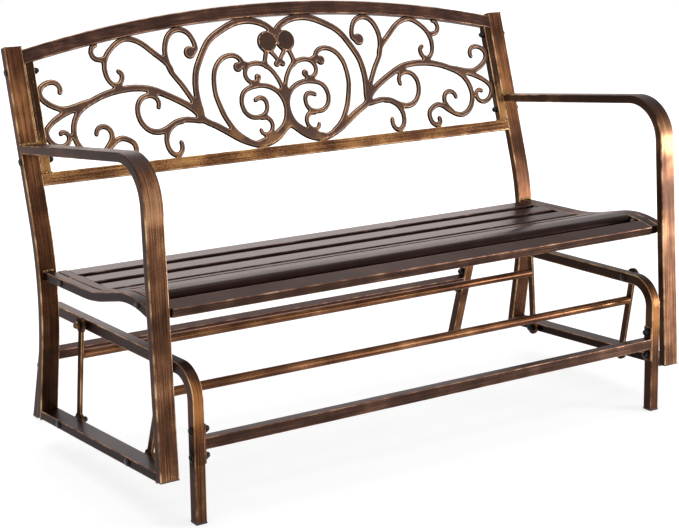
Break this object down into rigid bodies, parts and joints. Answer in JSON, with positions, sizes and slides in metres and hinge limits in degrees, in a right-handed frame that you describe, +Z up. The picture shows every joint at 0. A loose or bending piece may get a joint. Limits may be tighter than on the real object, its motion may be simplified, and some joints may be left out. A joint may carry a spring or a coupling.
{
  "type": "glider bench",
  "caption": "Porch glider bench: curved-arm steel seat frame with scroll-work back, hung on swinging links inside two arched base frames.",
  "frame": {"origin": "on the floor, in the middle of the bench's plan outline at rest", "axes": "+X to the right along the bench, +Y from the front to the back, +Z up"},
  "size_m": [1.279, 0.7138, 0.8573],
  "materials": {
    "bronze_steel": "brushed antique bronze paint, semi-gloss",
    "dark_bronze_steel": "dark espresso bronze paint, semi-gloss",
    "cast_scroll": "antique bronze with rubbed copper edges",
    "copper_bar": "bright copper bronze, semi-gloss",
    "black_fastener": "black coated",
    "plug_plastic": "matt",
    "bushing_plastic": "matt"
  },
  "bodies": {
    "base": {"base_arch_left": "bronze_steel", "base_arch_right": "bronze_steel", "base_leg_front_left": "bronze_steel", "base_leg_front_right": "bronze_steel", "base_leg_rear_left": "bronze_steel", "base_leg_rear_right": "bronze_steel", "crossbar_bolts": "black_fastener", "crossbar_front": "bronze_steel", "crossbar_nuts": "black_fastener", "crossbar_rear": "bronze_steel", "foot_plug_front_left": "plug_plastic", "foot_plug_front_right": "plug_plastic", "foot_plug_rear_left": "plug_plastic", "foot_plug_rear_right": "plug_plastic", "upper_pivot_bolts": "black_fastener", "upper_pivot_nuts": "black_fastener", "upper_pivot_washers": "black_fastener"},
    "front_swing": {"front_link_bushings": "bushing_plastic", "front_link_left": "bronze_steel", "front_link_right": "bronze_steel", "front_swing_bar": "copper_bar"},
    "rear_swing": {"rear_link_bushings": "bushing_plastic", "rear_link_left": "bronze_steel", "rear_link_right": "bronze_steel", "rear_swing_bar": "copper_bar"},
    "glider": {"arm_leg_left": "bronze_steel", "arm_leg_right": "bronze_steel", "back_post_left": "bronze_steel", "back_post_right": "bronze_steel", "backrest_bolts": "black_fastener", "backrest_bottom_rail": "bronze_steel", "backrest_nuts": "black_fastener", "backrest_scroll_panel": "cast_scroll", "backrest_side_tube_left": "bronze_steel", "backrest_side_tube_right": "bronze_steel", "backrest_top_arch": "bronze_steel", "frame_bottom_plugs": "plug_plastic", "lower_pivot_bolts": "black_fastener", "lower_pivot_nuts": "black_fastener", "lower_pivot_washers": "black_fastener", "post_top_caps": "plug_plastic", "seat_bolts": "black_fastener", "seat_end_rail_left": "dark_bronze_steel", "seat_end_rail_right": "dark_bronze_steel", "seat_front_bar": "dark_bronze_steel", "seat_nuts": "black_fastener", "seat_side_rail_left": "dark_bronze_steel", "seat_side_rail_right": "dark_bronze_steel", "seat_slat_1": "dark_bronze_steel", "seat_slat_2": "dark_bronze_steel", "seat_slat_3": "dark_bronze_steel", "seat_slat_4": "dark_bronze_steel", "seat_spacers": "black_fastener", "seat_waterfall_slat": "dark_bronze_steel", "skid_left": "dark_bronze_steel", "skid_right": "dark_bronze_steel"}
  },
  "joints": [
    {"name": "front_swing_joint", "type": "hinge", "parent": "base", "child": "front_swing", "pos_m": [0, -0.258, 0.277], "axis": [1, 0, 0], "range_deg": [-12, 12]},
    {"name": "glider_joint", "type": "hinge", "parent": "front_swing", "child": "glider", "pos_m": [0, -0.217, 0.0906], "axis": [1, 0, 0], "range_deg": [-13.9, 13.9]},
    {"name": "rear_swing_joint", "type": "hinge", "parent": "base", "child": "rear_swing", "pos_m": [0, 0.085, 0.2685], "axis": [1, 0, 0], "range_deg": [-11.4, 11.4]}
  ],
  "couplings": [
    {"joint": "glider_joint", "follows": "front_swing_joint", "ratio": -1.152},
    {"joint": "rear_swing_joint", "follows": "front_swing_joint", "ratio": 0.9465}
  ]
}
